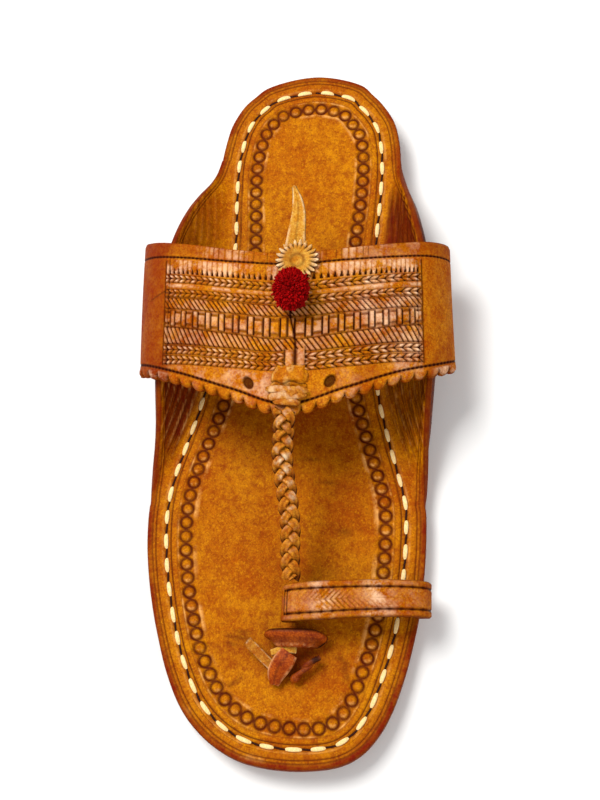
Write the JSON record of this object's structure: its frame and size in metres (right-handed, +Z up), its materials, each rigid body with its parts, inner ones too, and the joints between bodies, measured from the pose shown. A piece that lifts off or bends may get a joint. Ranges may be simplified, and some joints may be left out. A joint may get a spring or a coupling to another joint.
{
  "type": "kolhapuri sandal",
  "caption": "Flat leather kolhapuri sandal with a broad embossed instep band, a plaited thong, a big-toe strap and a wool pompom.",
  "frame": {"origin": "bottom centre of the sandal's bounding box, on the ground it stands on", "axes": "+Z up, the toe points to -Y and the heel to +Y, the big-toe (medial) side is +X"},
  "size_m": [0.1188, 0.2702, 0.0632],
  "materials": {
    "sole_leather": "burnished",
    "footbed_leather": "oiled",
    "lining_leather": "glossy",
    "band_leather": "embossed, polished",
    "tab_leather": "oiled",
    "thong_leather": "smooth",
    "knot_leather": "smooth",
    "rosette_leather": "dry, pinked",
    "wool": "tufted wool"
  },
  "bodies": {
    "root": {"outsole": "sole_leather", "heel_lift": "sole_leather", "insole": "footbed_leather", "wing_lining_lateral": "lining_leather", "wing_lining_medial": "lining_leather", "instep_band": "band_leather", "front_tab": "tab_leather", "braid_wrap": "thong_leather", "braid": "thong_leather", "toe_strap": "band_leather", "toe_post": "knot_leather", "thong_end_square": "knot_leather", "thong_end_folded": "knot_leather", "thong_end_twisted": "knot_leather", "tail_thong": "thong_leather", "rosette": "rosette_leather", "pompom": "wool"}
  },
  "joints": []
}
